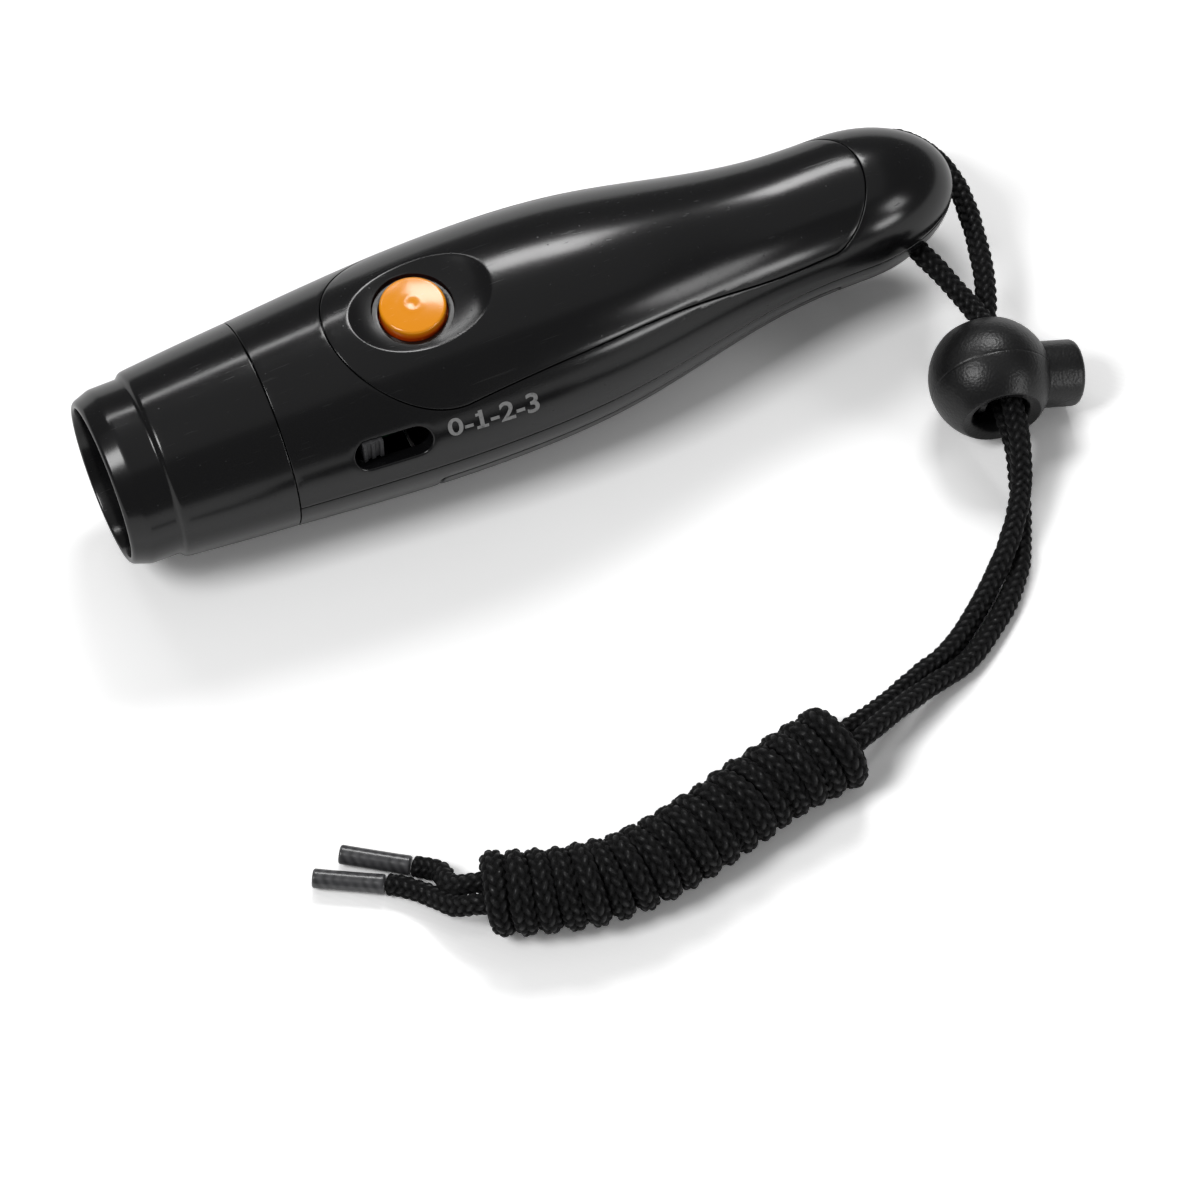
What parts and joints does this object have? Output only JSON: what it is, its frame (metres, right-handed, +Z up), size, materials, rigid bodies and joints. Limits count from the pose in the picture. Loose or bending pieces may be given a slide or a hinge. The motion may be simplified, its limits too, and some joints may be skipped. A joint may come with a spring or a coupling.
{
  "type": "electronic whistle",
  "caption": "Hand-held electronic whistle: sound horn, tapered housing with a push button in an oval dish, side mode switch, battery door, and a wound lanyard with a cord lock.",
  "frame": {"origin": "on the surface that the whistle lies on, under the middle of the whistle's body; the lanyard isn't counted", "axes": "+X along the body's axis from the horn to the tail, +Z up on the button's side, +Y away from the mode switch's side"},
  "size_m": [0.147, 0.1111, 0.0365],
  "materials": {
    "shell_black": "moulded, polished",
    "satin_black": "satin",
    "inner_black": "as moulded",
    "button_orange": "moulded, polished",
    "aglet_clear": "smoky, clear",
    "cord_black": "braided polyester",
    "steel": "plated",
    "nickel": "nickel plated",
    "board_green": "solder mask",
    "resin_black": "moulded resin",
    "copper": "enamelled wire",
    "cell_jacket": "printed film",
    "paper_cone": "pressed",
    "ferrite": "sintered",
    "wire_red": "insulated",
    "wire_black": "insulated",
    "resistor_tan": "lacquered"
  },
  "bodies": {
    "housing": {"horn": "shell_black", "horn_grille": "inner_black", "transducer_diaphragm": "paper_cone", "transducer_case": "steel", "transducer_magnet": "ferrite", "transducer_ring": "inner_black", "upper_housing": "shell_black", "lower_housing": "shell_black", "top_panel": "shell_black", "housing_screw_front_near": "steel", "housing_screw_front_far": "steel", "housing_screw_rear": "steel", "board_screw_front": "steel", "board_screw_rear": "steel", "circuit_board": "board_green", "push_switch_body": "resin_black", "button_return_spring": "steel", "slide_switch_frame": "satin_black", "sound_chip": "resin_black", "transistor": "resin_black", "boost_coil": "copper", "capacitor": "cell_jacket", "resistor_1": "resistor_tan", "resistor_2": "resistor_tan", "battery_cradle": "inner_black", "battery_1": "cell_jacket", "battery_2": "cell_jacket", "battery_bridge": "nickel", "positive_contact": "nickel", "negative_contact": "nickel", "bridge_spring": "nickel", "negative_spring": "nickel", "speaker_wire_red": "wire_red", "battery_wire_red": "wire_red", "speaker_wire_black": "wire_black", "battery_wire_black": "wire_black", "lanyard_strand_near": "cord_black", "lanyard_strand_far": "cord_black", "lanyard_wrap": "cord_black", "aglet_near": "aglet_clear", "aglet_far": "aglet_clear", "cord_lock_body": "satin_black", "cord_lock_spring": "steel"},
    "button": {"button_cap": "button_orange", "push_switch_plunger": "satin_black"},
    "mode_slider": {"mode_knob": "satin_black", "slide_switch_slider": "resin_black"},
    "battery_door": {"battery_door": "shell_black"},
    "cord_lock_button": {"cord_lock_plunger": "satin_black"}
  },
  "joints": [
    {"name": "button_press", "type": "slide", "parent": "housing", "child": "button", "axis": [0, 0, -1], "range_m": [0, 0.001], "stiffness_N_per_m": 1000, "springref_m": -0.0005, "deforming": ["button_return_spring"]},
    {"name": "mode_slide", "type": "slide", "parent": "housing", "child": "mode_slider", "axis": [1, 0, 0], "range_m": [0, 0.006]},
    {"name": "battery_door_hinge", "type": "hinge", "parent": "housing", "child": "battery_door", "pos_m": [0.047, 0, 0.00655], "axis": [0, -1, 0], "range_deg": [0, 35]},
    {"name": "cord_lock_press", "type": "slide", "parent": "housing", "child": "cord_lock_button", "axis": [-0.9548, 0.1727, 0.2419], "range_m": [0, 0.0024], "stiffness_N_per_m": 800, "springref_m": -0.001, "deforming": ["cord_lock_spring"]}
  ]
}
